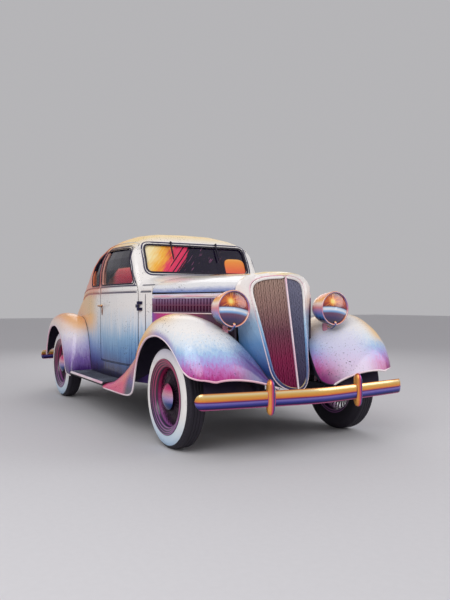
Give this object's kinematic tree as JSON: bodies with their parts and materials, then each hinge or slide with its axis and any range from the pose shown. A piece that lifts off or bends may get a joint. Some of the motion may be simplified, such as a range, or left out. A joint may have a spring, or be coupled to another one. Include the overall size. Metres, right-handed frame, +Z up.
{
  "type": "vintage coupe car",
  "caption": "Whole two-door coupe of the mid 1930s with separate wings, running boards, upright prow grille, wire wheels, opening doors, bonnet and boot",
  "frame": {"origin": "on the ground under the middle of the car, half way between the faces of the bumpers", "axes": "+X forward, +Y to the car's left, +Z up"},
  "size_m": [4.4212, 1.7878, 1.672],
  "materials": {
    "body_paint": "pearl gloss with coloured fades",
    "black_paint": "satin",
    "wheel_paint": "gloss",
    "grille_paint": "gloss",
    "chrome": "polished",
    "steel": "dull",
    "iron": "rough",
    "hard_rubber": "ribbed matte",
    "tyre": "matte with white side band",
    "seat_leather": "soft",
    "window_glass": "tinted",
    "lamp_glass": "fluted",
    "tail_glass": "moulded"
  },
  "bodies": {
    "chassis": {"frame_rails": "black_paint", "cross_members": "black_paint", "engine": "iron", "radiator": "black_paint", "driveline": "iron", "front_axle": "black_paint", "rear_axle": "black_paint", "springs": "steel", "fuel_tank": "black_paint", "exhaust": "steel", "floor_pan": "black_paint", "sills": "body_paint", "cowl": "body_paint", "cowl_hinges": "steel", "roof": "body_paint", "rear_body": "body_paint", "boot_hinges": "steel", "seat": "seat_leather", "dashboard": "body_paint", "steering_column": "black_paint", "front_wings": "body_paint", "rear_wings": "body_paint", "running_boards": "hard_rubber", "bonnet_sides": "body_paint", "bonnet_rod": "chrome", "grille_shell": "body_paint", "grille": "grille_paint", "headlamps": "body_paint", "headlamp_lenses": "lamp_glass", "bumpers": "chrome", "bumper_irons": "black_paint", "windows": "window_glass", "wipers": "black_paint", "tail_lamps": "tail_glass"},
    "steering_wheel": {"steering_wheel": "hard_rubber"},
    "knuckle_left": {"knuckle_left": "black_paint"},
    "knuckle_right": {"knuckle_right": "black_paint"},
    "tie_rod": {"tie_rod": "steel"},
    "door_left": {"door_left": "body_paint", "door_hinges_left": "steel", "door_glass_left": "window_glass"},
    "door_right": {"door_right": "body_paint", "door_hinges_right": "steel", "door_glass_right": "window_glass"},
    "bonnet_left": {"bonnet_left": "body_paint"},
    "bonnet_right": {"bonnet_right": "body_paint"},
    "boot_lid": {"boot_lid": "body_paint"},
    "road_wheel_front_right": {"tyre_front_right": "tyre", "wheel_front_right": "wheel_paint"},
    "road_wheel_front_left": {"tyre_front_left": "tyre", "wheel_front_left": "wheel_paint"},
    "road_wheel_rear_right": {"tyre_rear_right": "tyre", "wheel_rear_right": "wheel_paint"},
    "road_wheel_rear_left": {"tyre_rear_left": "tyre", "wheel_rear_left": "wheel_paint"}
  },
  "joints": [
    {"name": "steer_left", "type": "hinge", "parent": "chassis", "child": "knuckle_left", "pos_m": [1.5, 0.64, 0.357], "axis": [0, 0, 1], "range_deg": [-30, 30]},
    {"name": "steer_right", "type": "hinge", "parent": "chassis", "child": "knuckle_right", "pos_m": [1.5, -0.64, 0.357], "axis": [0, 0, 1], "range_deg": [-30, 30]},
    {"name": "tie_rod_swing", "type": "hinge", "parent": "knuckle_left", "child": "tie_rod", "pos_m": [1.35, 0.64, 0.28], "axis": [0, 0, 1], "range_deg": [-30, 30]},
    {"name": "steering_turn", "type": "hinge", "parent": "chassis", "child": "steering_wheel", "pos_m": [0.19, 0.36, 1.04], "axis": [-0.8829, 0, 0.4695], "range_deg": [-450, 450]},
    {"name": "roll_front_left", "type": "hinge", "parent": "knuckle_left", "child": "road_wheel_front_left", "pos_m": [1.5, 0.73, 0.357], "axis": [0, 1, 0], "continuous": true},
    {"name": "roll_rear_left", "type": "hinge", "parent": "chassis", "child": "road_wheel_rear_left", "pos_m": [-1.33, 0.73, 0.357], "axis": [0, 1, 0], "continuous": true},
    {"name": "door_left_hinge", "type": "hinge", "parent": "chassis", "child": "door_left", "pos_m": [0.504, 0.621, 0.78], "axis": [0, 0, -1], "range_deg": [0, 65]},
    {"name": "bonnet_left_hinge", "type": "hinge", "parent": "chassis", "child": "bonnet_left", "pos_m": [1.15, 0, 1.235], "axis": [0.9996, 0, -0.03], "range_deg": [0, 60]},
    {"name": "roll_front_right", "type": "hinge", "parent": "knuckle_right", "child": "road_wheel_front_right", "pos_m": [1.5, -0.73, 0.357], "axis": [0, 1, 0], "continuous": true},
    {"name": "roll_rear_right", "type": "hinge", "parent": "chassis", "child": "road_wheel_rear_right", "pos_m": [-1.33, -0.73, 0.357], "axis": [0, 1, 0], "continuous": true},
    {"name": "door_right_hinge", "type": "hinge", "parent": "chassis", "child": "door_right", "pos_m": [0.504, -0.621, 0.78], "axis": [0, 0, 1], "range_deg": [0, 65]},
    {"name": "bonnet_right_hinge", "type": "hinge", "parent": "chassis", "child": "bonnet_right", "pos_m": [1.15, 0, 1.235], "axis": [-0.9996, 0, 0.03], "range_deg": [0, 60]},
    {"name": "boot_lid_hinge", "type": "hinge", "parent": "chassis", "child": "boot_lid", "pos_m": [-1.2472, 0, 1.15036], "axis": [0, 1, 0], "range_deg": [0, 60]}
  ],
  "couplings": [
    {"joint": "steer_right", "follows": "steer_left", "ratio": 1},
    {"joint": "tie_rod_swing", "follows": "steer_left", "ratio": -1},
    {"joint": "steering_turn", "follows": "steer_left", "ratio": 15}
  ]
}
